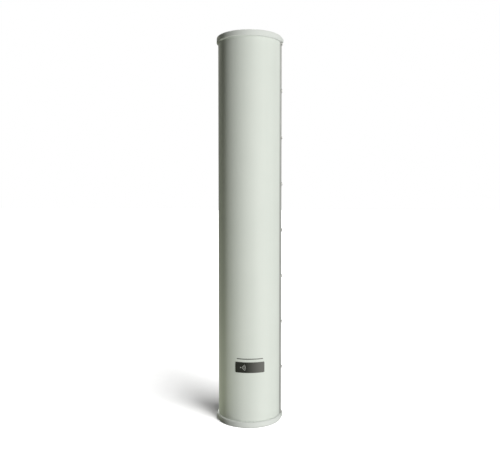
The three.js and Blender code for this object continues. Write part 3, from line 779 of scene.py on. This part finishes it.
def cap_bowl(name):
    """The cap's plate and skirt, in rings from its underside up the outside and down the inside."""
    outer = CAP_OVERHANG
    inner = CAP_CLEARANCE
    edge = quarter_round(CAP_EDGE_ROUND)
    outer_rim = quarter_round(RIM_OUTER_ROUND)
    inner_rim = quarter_round(RIM_INNER_ROUND)
    fillet = quarter_round(FLOOR_FILLET)
    rings = [cap_ring(outer - CAP_EDGE_ROUND + run, rise) for run, rise in edge]
    rings += [cap_ring(outer - RIM_OUTER_ROUND + run, 0, rise) for run, rise in reversed(outer_rim)]
    rings += [cap_ring(LIP_CLEARANCE + RIM_INNER_ROUND - run, 0, rise) for run, rise in inner_rim]
    rings += [cap_ring(LIP_CLEARANCE, 0, LIP_DEPTH), cap_ring(inner, 0, LIP_DEPTH + inner)]
    flat = inner - FLOOR_FILLET
    rings += [cap_ring(flat + run, CAP_PLATE + rise) for run, rise in reversed(fillet)]
    return loft(name, rings)


def cap_ribs():
    """A curved rib inside the front of the housing, and a straight one inside its back."""
    rib_outer = RADIUS - RADOME_WALL - CAP_CLEARANCE
    rib_inner = rib_outer - CAP_RIB_THICKNESS
    rib_from = 3 * QUARTER_TURN - CAP_RIB_HALF_ANGLE
    rib_to = 3 * QUARTER_TURN + CAP_RIB_HALF_ANGLE
    front_rib = arc(0, AXIS_Y, rib_outer, rib_from, rib_to, ARC_STEPS // 2)
    front_rib += arc(0, AXIS_Y, rib_inner, rib_to, rib_from, ARC_STEPS // 2)
    rear_back = tray_high.y - TRAY_THICKNESS - CAP_CLEARANCE
    rear_front = rear_back - CAP_RIB_THICKNESS
    half_width = CAP_REAR_RIB_WIDTH / 2
    rear_rib = rectangle(-half_width, rear_front, half_width, rear_back)
    outlines = (front_rib, rear_rib)
    return combine([prism("rib", outline, CAP_PLATE / 2, CAP_RIB_HEIGHT) for outline in outlines])


def cap_mesh(name, has_weep_holes):
    mesh = carve(cap_bowl(name), cap_ribs(), "UNION")
    screw = centre_of("cap_screw_bottom_right")
    sink = COUNTERSUNK_RADIUS + 2 * GAP
    countersink = [
        (0, -CAP_PLATE), (sink, -CAP_PLATE), (sink, COUNTERSINK_RECESS),
        (SCREW_HOLE_RADIUS, COUNTERSINK_RECESS + COUNTERSUNK_HEIGHT),
        (SCREW_HOLE_RADIUS, 2 * CAP_PLATE), (0, 2 * CAP_PLATE),
    ]
    cutters = []
    for side in SIDES.values():
        place = Matrix.Translation((side * screw.x, screw.y, 0))
        cutters.append(moved(lathe("countersink", countersink), place))
    if has_weep_holes:
        places = [(side * WEEP_HOLE_X, AXIS_Y + WEEP_HOLE_Y, 0) for side in SIDES.values()]
        cutters.append(rods(places, WEEP_HOLE_RADIUS, 4 * CAP_PLATE, (0, 0, 1)))
    mesh = carve(mesh, combine(cutters))
    mesh.name = name
    return mesh


def turned_over():
    """Takes a mesh from the bottom end to the top end."""
    return Matrix.Translation((0, 0, HEIGHT)) @ Matrix.Rotation(HALF_TURN, 4, "Y")


def caps():
    bottom = cap_mesh("bottom_cap_moulding", True)
    add_piece("bottom_cap_moulding", bottom, CAP, ["bottom_cap"])
    top = moved(cap_mesh("top_cap_moulding", False), turned_over())
    add_piece("top_cap_moulding", top, CAP, ["top_cap"])


# ---- fasteners

def cross_recess(width, depth):
    """The tapering cross that a screwdriver fits, cut down from z = 0."""
    levels = [
        (width, CROSS_HALF_SLOT, 0.2 * MM), (width, CROSS_HALF_SLOT, 0),
        (0.5 * width, 0.7 * CROSS_HALF_SLOT, -depth),
    ]
    rings = []
    for reach, half, height in levels:
        arm = [(reach, -half), (reach, half), (half, half)]
        ring = []
        for _ in range(4):
            ring += [(x, y, height) for x, y in arm]
            arm = [(-y, x) for x, y in arm]
        rings.append(ring)
    return loft("cross_recess", rings)


def pan_head_screw(head_height, shank_length):
    """Seated at z = 0, with its head above and its thread below."""
    head = SCREW_HEAD_RADIUS
    profile = [
        (0, -shank_length), (SCREW_RADIUS - SCREW_GROOVE, -shank_length),
        *thread_profile(SCREW_RADIUS, -shank_length + SCREW_GROOVE, -SCREW_PITCH, SCREW_PITCH),
        (SCREW_RADIUS, 0), (head - SCREW_EDGE, 0), (head, SCREW_EDGE),
    ]
    for i in range(SCREW_CROWN_STEPS + 1):
        turn = QUARTER_TURN * i / SCREW_CROWN_STEPS
        radius = head - SCREW_CROWN_WIDTH * (1 - cos(turn))
        profile.append((radius, head_height - SCREW_CROWN_HEIGHT * (1 - sin(turn))))
    profile.append((0, head_height))
    thread = (-shank_length, 0, SCREW_PITCH, SCREW_GROOVE)
    body = lathe("pan_head_screw", profile, SCREW_STEPS, thread)
    recess = cross_recess(width=2.0 * MM, depth=1.5 * MM)
    return carve(body, moved(recess, Matrix.Translation((0, 0, head_height))))


def side_screws():
    low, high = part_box("side_screw_right_1")
    mesh = pan_head_screw(high.x - RADIUS, RADIUS - low.x)
    for side_name, side in SIDES.items():
        for i, node in enumerate(numbered(f"side_screw_{side_name}_")):
            place = centre_of(node)
            driven = SCREW_TURNS[(i + 4 * (side < 0)) % len(SCREW_TURNS)]
            matrix = (
                Matrix.Translation((side * RADIUS, place.y, place.z))
                @ Matrix.Rotation(side * QUARTER_TURN, 4, "Y")
                @ Matrix.Rotation(radians(driven), 4, "Z")
            )
            name = f"pan_head_screw_{side_name}_{i + 1}"
            add_piece(name, mesh, SCREW, [node], matrix)


def countersunk_screw(low, high):
    """Head down at the low end, as it sits in the bottom cap."""
    neck = low + COUNTERSUNK_HEIGHT
    profile = [
        (0, low), (COUNTERSUNK_RADIUS - 0.1 * MM, low),
        (COUNTERSUNK_RADIUS, low + 0.12 * MM), (SCREW_RADIUS, neck),
        *thread_profile(SCREW_RADIUS, neck + SCREW_PITCH, high - SCREW_GROOVE, SCREW_PITCH),
        (SCREW_RADIUS - SCREW_GROOVE, high), (0, high),
    ]
    thread = (neck, high, SCREW_PITCH, SCREW_GROOVE)
    body = lathe("countersunk_screw", profile, SCREW_STEPS, thread)
    place = Matrix.Translation((0, 0, low)) @ Matrix.Rotation(HALF_TURN, 4, "X")
    return carve(body, moved(cross_recess(width=2.1 * MM, depth=1.3 * MM), place))


def cap_screws():
    low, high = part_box("cap_screw_bottom_right")
    mesh = countersunk_screw(low.z, high.z)
    for end, over in (("bottom", Matrix.Identity(4)), ("top", turned_over())):
        for side_name in SIDES:
            node = f"cap_screw_{end}_{side_name}"
            place = centre_of(node)
            flip = -1 if end == "top" else 1
            matrix = over @ Matrix.Translation((flip * place.x, place.y, 0))
            name = f"countersunk_screw_{end}_{side_name}"
            add_piece(name, mesh, SCREW, [node], matrix)


def from_axis_to_back(x, z):
    """Takes a turned part, whose Z is its depth behind AXIS_Y, to its place on the back."""
    return Matrix.Translation((x, AXIS_Y, z)) @ Matrix.Rotation(-QUARTER_TURN, 4, "X")


def stud_mesh():
    head, head_front, end = turned_size("mounting_stud_1")
    head_back = SIDE_DEPTH - TRAY_THICKNESS
    thread_start = head_back + STUD_PITCH
    thread_end = end - 2 * STUD_GROOVE
    profile = [
        (0, head_front), (head - STUD_HEAD_EDGE, head_front),
        (head, head_front + STUD_HEAD_EDGE), (head, head_back), (STUD_RADIUS, head_back),
        *thread_profile(STUD_RADIUS, thread_start, thread_end, STUD_PITCH, FINE_THREAD_ROWS),
        (STUD_RADIUS - STUD_GROOVE, end - 0.6 * STUD_GROOVE),
        (STUD_RADIUS - 1.6 * STUD_GROOVE, end), (0, end),
    ]
    thread = (thread_start, end, STUD_PITCH, STUD_GROOVE)
    return lathe("threaded_stud", profile, STUD_STEPS, thread)


def nut_mesh():
    """A flange nut, seated at z = 0 on the tray."""
    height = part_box("stud_nut_1")[1].y - tray_high.y
    flange = turned_size("stud_nut_1")[0]
    corner = NUT_FLATS / sqrt(3)
    angles = [FULL_TURN * i / 6 for i in range(6)]
    hexagon = [(corner * cos(a), corner * sin(a)) for a in angles]
    chamfer = lathe("chamfer", [
        (0, 0), (corner * 1.1, 0), (corner * 1.1, height - 1.15 * MM),
        (NUT_FLATS / 2 * 0.94, height), (0, height),
    ])
    body = carve(prism("nut", hexagon, NUT_RIM, height + MM), chamfer, "INTERSECT")
    skirt_top = NUT_FLANGE_HEIGHT + 0.7 * MM
    skirt = lathe("flange", [
        (0, 0), (flange - MM, 0),
        *arc(flange - NUT_RIM, 0.6 * MM, NUT_RIM, -QUARTER_TURN, QUARTER_TURN, EDGE_STEPS),
        (corner * 0.98, skirt_top), (0, skirt_top),
    ])
    body = carve(body, skirt, "UNION")
    bore = STUD_RADIUS + NUT_BORE_CLEARANCE
    hole = lathe("bore", [
        (0, -MM), (bore + NUT_CHAMFER, -MM), (bore + NUT_CHAMFER, 0), (bore, NUT_CHAMFER),
        (bore, height - NUT_CHAMFER), (bore + NUT_CHAMFER, height),
        (bore + NUT_CHAMFER, height + MM), (0, height + MM),
    ])
    return carve(body, hole)


def mast_studs():
    stud = stud_mesh()
    nut = nut_mesh()
    for i, node in enumerate(numbered("mounting_stud_")):
        place = centre_of(node)
        matrix = from_axis_to_back(place.x, place.z)
        add_piece(f"threaded_stud_{i + 1}", stud, STUD, [node], matrix)
        turn = Matrix.Rotation(radians(SCREW_TURNS[i]), 4, "Z")
        seat = matrix @ Matrix.Translation((0, 0, SIDE_DEPTH)) @ turn
        add_piece(f"flange_nut_{i + 1}", nut, STUD, [f"stud_nut_{i + 1}"], seat)


# ---- coaxial jack

def jack_body():
    flange, tail_front, rim = turned_size("connector_body")
    flange_front = turned_size("connector_seal")[2] + GAP
    flange_back = flange_front + JACK_FLANGE_THICKNESS
    neck_front = turned_size("connector_nut")[1] - 2 * MM
    thread_start = flange_back + MM
    first_row = flange_back + 1.4 * MM
    pin_hole = turned_size("connector_pin")[0] + GAP
    bore_end = rim - JACK_BORE_DEPTH
    outer = JACK_THREAD_RADIUS
    return lathe("coaxial_jack", [
        (pin_hole, tail_front), (JACK_TAIL_RADIUS, tail_front),
        (JACK_TAIL_RADIUS, neck_front), (JACK_NECK_RADIUS, neck_front),
        (JACK_NECK_RADIUS, flange_front), (flange - JACK_EDGE, flange_front),
        (flange, flange_front + JACK_EDGE), (flange, flange_back - JACK_EDGE),
        (flange - JACK_EDGE, flange_back), (outer - JACK_GROOVE, flange_back),
        (outer - JACK_GROOVE, thread_start),
        *thread_profile(outer, first_row, rim - 1.2 * MM, JACK_PITCH, FINE_THREAD_ROWS),
        (outer - 1.4 * JACK_GROOVE, rim), (JACK_BORE_RADIUS + JACK_EDGE, rim),
        (JACK_BORE_RADIUS, rim - JACK_EDGE), (JACK_BORE_RADIUS, bore_end),
        (pin_hole, bore_end),
    ], JACK_STEPS, (thread_start, rim, JACK_PITCH, JACK_GROOVE))


def centre_contact():
    """A pin with a bore in its end and two slots across it."""
    radius, start, end = turned_size("connector_pin")
    contact = lathe("centre_contact", [
        (0, start), (radius, start), (radius, end - 0.4 * MM), (radius - 0.35 * MM, end),
        (0.6 * radius, end), (0.5 * radius, end - 0.3 * MM), (0.5 * radius, end - 5 * MM),
        (0, end - 5 * MM),
    ])
    outline = rectangle(-CONTACT_SLOT / 2, -2 * radius, CONTACT_SLOT / 2, 2 * radius)
    for turn in (0, QUARTER_TURN):
        slot = prism("slot", outline, end - 4 * MM, end + MM)
        contact = carve(contact, moved(slot, Matrix.Rotation(turn, 4, "Z")))
    return contact


def jack_seal():
    outer, front, back = turned_size("connector_seal")
    inner = JACK_NECK_RADIUS + 0.5 * MM
    bead = 0.35 * MM
    return lathe("jack_seal", [
        *arc(outer - bead, front + bead, bead, -QUARTER_TURN, 0, EDGE_STEPS),
        *arc(outer - bead, back - bead, bead, 0, QUARTER_TURN, EDGE_STEPS),
        (inner, back), (inner, front),
    ])


def dielectric_bead():
    outer, front, back = turned_size("connector_insulator")
    pin_hole = turned_size("connector_pin")[0] + GAP
    return lathe("dielectric_bead", [
        (pin_hole, front), (outer, front), (outer, back - 0.4 * MM),
        (outer - 0.4 * MM, back), (outer - 0.9 * MM, back),
        (outer - 1.1 * MM, back - 0.5 * MM), (pin_hole + 0.8 * MM, back - 0.5 * MM),
        (pin_hole + 0.6 * MM, back), (pin_hole, back),
    ])


def jack():
    place = centre_of("connector_body")
    matrix = from_axis_to_back(place.x, place.z)
    add_piece("coaxial_jack", jack_body(), NICKEL, ["connector_body"], matrix)
    add_piece("centre_contact", centre_contact(), GOLD, ["connector_pin"], matrix)
    add_piece("jack_seal", jack_seal(), RUBBER, ["connector_seal"], matrix)
    bead = dielectric_bead()
    add_piece("dielectric_bead", bead, NYLON, ["connector_insulator"], matrix)


# ---- badge

def on_front(angle, radius):
    """A point of the half-round front, at an angle from its middle towards +X."""
    return radius * sin(angle), AXIS_Y - radius * cos(angle)


def badge_plate(inner, outer):
    """A thin plate bent round the front, with rounded corners and a small chamfer on its face."""
    edge = 0.3 * (outer - inner)
    width = 2 * BADGE_HALF_ANGLE * outer
    rings = []
    for i in range(BADGE_STEPS + 1):
        along = width * (1 - cos(HALF_TURN * i / BADGE_STEPS)) / 2
        nearest = min(along, width - along, BADGE_CORNER)
        inset = BADGE_CORNER - sqrt(max(0, BADGE_CORNER ** 2 - (BADGE_CORNER - nearest) ** 2))
        angle = BADGE_TURN - BADGE_HALF_ANGLE + along / outer
        low, high = badge_low.z + inset, badge_high.z - inset
        section = [
            (inner, low), (outer - edge, low), (outer, low + edge),
            (outer, high - edge), (outer - edge, high), (inner, high),
        ]
        rings.append([(*on_front(angle, radius), height) for radius, height in section])
    return loft("front_badge", rings)


def curved_stroke(path, width, inner, outer):
    """A raised line on the front, along (distance round the front, height) points."""
    rings = []
    for i, (along, height) in enumerate(path):
        ahead = path[min(i + 1, len(path) - 1)]
        behind = path[max(i - 1, 0)]
        run, rise = ahead[0] - behind[0], ahead[1] - behind[1]
        length = hypot(run, rise)
        side_along, side_height = -rise / length * width / 2, run / length * width / 2
        ring = []
        for side, radius in ((-1, inner), (-1, outer), (1, outer), (1, inner)):
            angle = (along + side * side_along) / outer
            ring.append((*on_front(angle, radius), height + side * side_height))
        rings.append(ring)
    return loft("stroke", rings)


def badge():
    """A plain dark plate with arcs that spread from a dot, and a thin rule over it."""
    face = RADIUS + GAP + BADGE_THICKNESS
    plate = badge_plate(RADIUS + 0.03 * MM, face)
    add_piece("front_badge", plate, FOIL, ["badge"])

    raised = face + BADGE_RAISE
    sunk = face - BADGE_SINK
    middle = (badge_low.z + badge_high.z) / 2
    source = (BADGE_TURN - BADGE_ARC_PLACE * BADGE_HALF_ANGLE) * raised
    strokes = []
    for radius in BADGE_ARC_RADII:
        points = arc(source, middle, radius, -BADGE_ARC_SPREAD, BADGE_ARC_SPREAD, BADGE_ARC_STEPS)
        strokes.append(curved_stroke(points, BADGE_ARC_WIDTH, sunk, raised))
    dot = [(source + side * BADGE_DOT / 2, middle) for side in (-1, 1)]
    strokes.append(curved_stroke(dot, BADGE_DOT, sunk, raised))
    add_piece("badge_arcs", combine(strokes), INK)

    rule_height = badge_high.z + RULE_RISE
    half_width = RULE_SHARE * BADGE_HALF_ANGLE * RADIUS
    centre = BADGE_TURN * RADIUS
    half = BADGE_STEPS // 2
    points = [(centre + half_width * (i / half - 1), rule_height) for i in range(BADGE_STEPS + 1)]
    rule = curved_stroke(points, RULE_WIDTH, RADIUS - 0.1 * MM, RADIUS + 0.08 * MM)
    rule.name = "badge_rule"
    # The rule takes the foil's look, with its painted sheen towards the right.
    add_piece("badge_rule", rule, FOIL)


# ---- tinned tracks on the boards inside

def edge_track(outline, inner, outer):
    """A track on the side of a card that stands on edge, from its (y, z) outline."""
    return loft("track", [[(x, y, z) for y, z in outline] for x in (inner, outer)])


def face_track(name, outline, board_face):
    """A track on the front of a flat board, from its (x, z) outline."""
    levels = (board_face + TRACK_SINK, board_face - TRACK_RAISE)
    mesh = loft(name, [[(x, y, z) for x, z in outline] for y in levels])
    add_piece(name, mesh, TRACK)


def dipole_tracks():
    """Each card has two arms with their legs on one side, and the hooked feed line on the other."""
    for i, node in enumerate(numbered("dipole_card_")):
        low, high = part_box(node)
        middle = (low.z + high.z) / 2
        arm_end = high.z - middle - TRACK_MARGIN
        front = low.y + TRACK_MARGIN
        arm_back = low.y + DIPOLE_ARM_WIDTH - TRACK_MARGIN
        foot = high.y - BOARD_THICKNESS - GAP - TRACK_MARGIN
        leg_inner = BALUN_SLOT_WIDTH / 2 + TRACK_MARGIN
        leg_outer = DIPOLE_STEM_WIDTH / 2 - TRACK_MARGIN
        meshes = []
        for side in (-1, 1):
            outline = [
                (front, leg_inner), (front, arm_end), (arm_back, arm_end),
                (arm_back, leg_outer), (foot, leg_outer), (foot, leg_inner),
            ]
            outline = [(y, middle + side * z) for y, z in outline]
            meshes.append(edge_track(outline, high.x - TRACK_SINK, high.x + TRACK_RAISE))
        near = (leg_inner + leg_outer - HOOK_WIDTH) / 2
        far = near + HOOK_WIDTH
        cross = low.y + BALUN_SLOT_LENGTH + TRACK_MARGIN
        hook_end = low.y + HOOK_END
        hook = [
            (foot, -far), (cross, -far), (cross, near), (hook_end, near), (hook_end, far),
            (cross + HOOK_WIDTH, far), (cross + HOOK_WIDTH, -near), (foot, -near),
        ]
        hook = [(y, middle + z) for y, z in hook]
        meshes.append(edge_track(hook, low.x + TRACK_SINK, low.x - TRACK_RAISE))
        add_piece(f"dipole_tracks_{i + 1}", combine(meshes), TRACK)


def feed_tracks():
    """A trunk line up each feed board, with a branch and a solder pad at each dipole."""
    heights = [centre_of(node).z for node in numbered("dipole_card_")]
    for half in ("lower", "upper"):
        low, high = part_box(f"feed_board_{half}")
        outline = [
            (TRUNK_X + TRUNK_WIDTH, low.z + TRACK_MARGIN),
            (TRUNK_X + TRUNK_WIDTH, high.z - TRACK_MARGIN),
            (TRUNK_X, high.z - TRACK_MARGIN),
        ]
        for height in sorted((z for z in heights if low.z < z < high.z), reverse=True):
            upper = [
                (TRUNK_X, BRANCH_WIDTH / 2), (PAD_OUTER_X, BRANCH_WIDTH / 2),
                (PAD_OUTER_X, PAD_HALF_HEIGHT), (PAD_INNER_X, PAD_HALF_HEIGHT),
            ]
            outline += [(x, height + z) for x, z in upper]
            outline += [(x, height - z) for x, z in reversed(upper)]
        outline.append((TRUNK_X, low.z + TRACK_MARGIN))
        face_track(f"feed_tracks_{half}", outline, low.y)


def divider_tracks():
    """A line in from the side to the middle, wide where it splits, and on to both ends."""
    low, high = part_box("power_divider")
    middle = (low.z + high.z) / 2
    edge = high.z - middle - TRACK_MARGIN
    thin, wide = BRANCH_WIDTH / 2, MATCHING_WIDTH / 2
    upper = [
        (low.x + TRACK_MARGIN, thin), (-wide, thin), (-wide, MATCHING_LENGTH),
        (-thin, MATCHING_LENGTH), (-thin, edge), (thin, edge), (thin, MATCHING_LENGTH),
        (wide, MATCHING_LENGTH),
    ]
    outline = [(x, middle + z) for x, z in upper] + [(x, middle - z) for x, z in reversed(upper)]
    face_track("divider_tracks", outline, low.y)


# ---- pieces inside, as the CAD model has them

def inner_pieces():
    """Every CAD piece that is still shown gets a look by what its name holds."""
    looks = {
        "feed_board": LAMINATE, "dipole_card": LAMINATE, "power_divider": LAMINATE,
        "foam_spacer": FOAM, "clamp_bar": BAR, "gasket": RUBBER,
        "coax_jumper": COPPER, "coax_clip": NYLON, "connector_nut": NICKEL,
    }
    for node, piece in frame["nodes"].items():
        if piece.hide_render:
            continue
        look = next(look for part, look in looks.items() if part in node)
        piece.data.materials.clear()
        piece.data.materials.append(look.material)


# ---- stage, light and camera

def floor():
    """A pale floor. The light that it throws back comes only from a patch beside the antenna, so
    that it fades up the antenna's dark side."""
    half = FLOOR_HALF_WIDTH
    corners = [(x, y, 0) for x, y in rectangle(-half, -half, half, half)]
    mesh = mesh_from("floor", corners, [(0, 1, 2, 3)])
    look = Look("floor", 0.9, Specular_IOR_Level=0.0)
    distance = look.add("ShaderNodeVectorMath", operation="DISTANCE")
    look.link(look.place, distance.inputs[0])
    distance.inputs[1].default_value = PATCH_CENTRE
    near = look.spread(distance.outputs["Value"], 1, 0, PATCH_RADIUS, PATCH_RADIUS + PATCH_EDGE)
    thrown_back = look.ramp(near, PATCH_TONES, 0, 1)
    seen = look.ramp(look.noise(35, 4), FLOOR_TONES)
    seen_straight = look.add("ShaderNodeLightPath").outputs["Is Camera Ray"]
    look.colour(look.mixed(seen_straight, thrown_back, seen))
    mesh.materials.append(look.material)
    plane = in_scene("floor", mesh)


def backdrop_world():
    """White behind the antenna, and a dim even light from it on everything."""
    world = bpy.data.worlds.new("studio")
    scene.world = world
    world.use_nodes = True
    nodes, links = world.node_tree.nodes, world.node_tree.links
    nodes.clear()
    mix = nodes.new("ShaderNodeMixShader")
    for i, (colour, strength) in enumerate([AMBIENT, BACKDROP]):
        background = nodes.new("ShaderNodeBackground")
        background.inputs["Color"].default_value = (*colour, 1)
        background.inputs["Strength"].default_value = strength
        links.new(background.outputs["Background"], mix.inputs[i + 1])
    output = nodes.new("ShaderNodeOutputWorld")
    links.new(nodes.new("ShaderNodeLightPath").outputs["Is Camera Ray"], mix.inputs["Fac"])
    links.new(mix.outputs["Shader"], output.inputs["Surface"])


def sun(name, azimuth, elevation, strength, softness, colour, receivers, blockers):
    """A soft distant lamp. azimuth is in degrees round from the front towards +X."""
    lamp = bpy.data.lights.new(name, "SUN")
    lamp.energy = strength
    lamp.angle = radians(softness)
    lamp.color = colour
    piece = in_scene(name, lamp)
    around, up = radians(azimuth), radians(elevation)
    level = cos(up)
    towards = Vector((sin(around) * level, -cos(around) * level, sin(up)))
    piece.rotation_euler = towards.to_track_quat("Z", "Y").to_euler()
    piece.light_linking.receiver_collection = receivers
    piece.light_linking.blocker_collection = blockers


def lights():
    """Each lamp lights only the antenna or only the floor, so that each can be set by itself.
    Only the antenna casts shadows, so a lamp may stand below the floor."""
    receivers = {name: bpy.data.collections.new(name) for name in ("antenna", "floor")}
    blockers = receivers["antenna"]
    for piece in list(scene.objects):
        if piece.type == "MESH":
            receivers["floor" if piece.name == "floor" else "antenna"].objects.link(piece)
    for name, lit, azimuth, elevation, strength, softness, colour in LAMPS:
        around = CAMERA_AZIMUTH + azimuth
        sun(name, around, elevation, strength, softness, colour, receivers[lit], blockers)


def camera():
    lens = bpy.data.cameras.new("camera")
    lens.lens = CAMERA_LENS
    lens.sensor_width = CAMERA_SENSOR
    piece = in_scene("camera", lens)
    around = radians(CAMERA_AZIMUTH)
    right = CAMERA_DISTANCE * sin(around)
    back = AXIS_Y - CAMERA_DISTANCE * cos(around)
    piece.location = (right, back, CAMERA_HEIGHT)
    heading = around - radians(CAMERA_TURN)
    piece.rotation_euler = (QUARTER_TURN - radians(CAMERA_PITCH), 0, heading)
    scene.camera = piece


radome()
tray()
caps()
side_screws()
cap_screws()
mast_studs()
jack()
badge()
dipole_tracks()
feed_tracks()
divider_tracks()
inner_pieces()
floor()
backdrop_world()
lights()
camera()
scene.view_settings.view_transform = "Standard"
